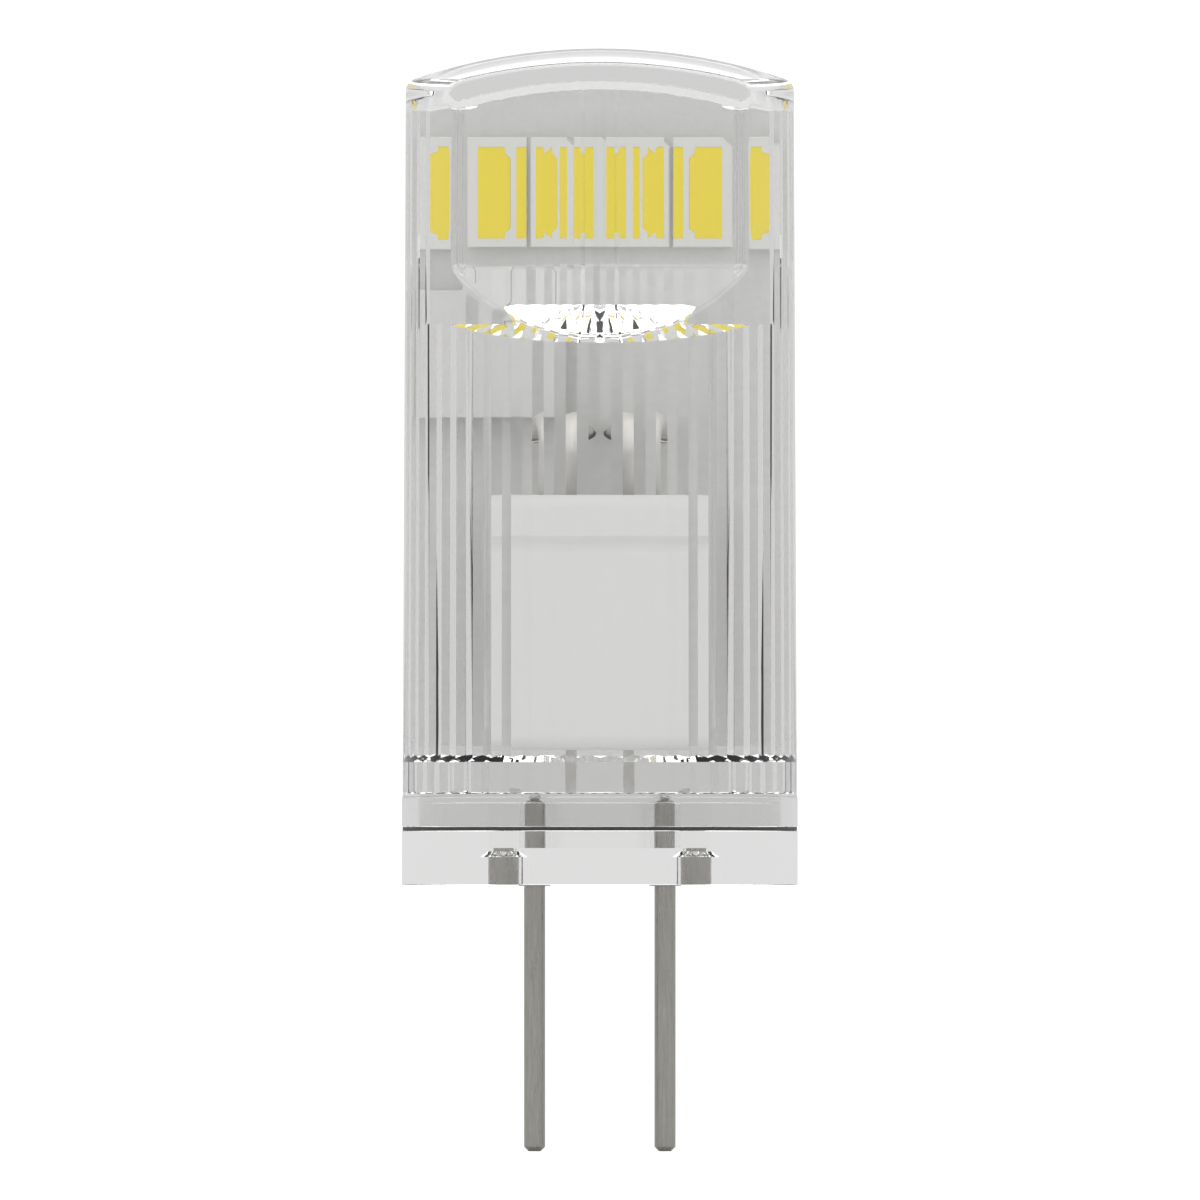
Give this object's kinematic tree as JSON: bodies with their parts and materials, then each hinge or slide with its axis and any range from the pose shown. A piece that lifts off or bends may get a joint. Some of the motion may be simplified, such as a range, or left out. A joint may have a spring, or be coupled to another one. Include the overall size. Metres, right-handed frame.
{
  "type": "led capsule bulb",
  "caption": "Small clear capsule LED bulb with a domed fluted cover, a flat window on each side, a board of LEDs inside and a bi-pin base.",
  "frame": {"origin": "centre of the base's flat underside, midway between the two pins", "axes": "+Z along the bulb's axis from the base to the dome, +X from the left pin to the right pin, -Y out of the front window"},
  "size_m": [0.0122, 0.0122, 0.0339],
  "materials": {
    "clear_plastic": "clear moulded polycarbonate, polished outside, fine flutes inside",
    "clear_plastic_base": "clear moulded polycarbonate",
    "pin_metal": "drawn tinned wire, satin",
    "board": "solder mask over glass laminate, satin",
    "can_aluminium": "bare aluminium can, satin",
    "seal_rubber": "matt black rubber",
    "tinned_wire": "tinned copper wire",
    "solder": "bright solder and tinned legs",
    "chip_ceramic": "fired ceramic, matt",
    "ferrite": "dark ferrite, matt",
    "resistor_body": "dark glaze over ceramic",
    "chip_plastic": "black moulding compound, fine matt",
    "led_package": "white heat-resistant plastic, satin",
    "phosphor": "yellow phosphor in soft silicone, satin"
  },
  "bodies": {
    "root": {"base_plug": "clear_plastic_base", "capacitor_can": "can_aluminium", "capacitor_lead_left": "tinned_wire", "capacitor_lead_right": "tinned_wire", "capacitor_seal": "seal_rubber", "chip_capacitor": "chip_ceramic", "chip_resistors": "resistor_body", "choke": "ferrite", "circuit_board": "board", "clear_cover": "clear_plastic", "contact_pin_left": "pin_metal", "contact_pin_right": "pin_metal", "driver_body": "chip_plastic", "driver_legs": "solder", "feed_wire_left": "tinned_wire", "feed_wire_right": "tinned_wire", "led_back_1": "led_package", "led_back_2": "led_package", "led_back_3": "led_package", "led_front_1": "led_package", "led_front_2": "led_package", "led_front_3": "led_package", "phosphor_back_1": "phosphor", "phosphor_back_2": "phosphor", "phosphor_back_3": "phosphor", "phosphor_front_1": "phosphor", "phosphor_front_2": "phosphor", "phosphor_front_3": "phosphor", "rectifier_body": "chip_plastic", "rectifier_legs": "solder", "seal_ring": "seal_rubber", "solder_joints": "solder"}
  },
  "joints": []
}
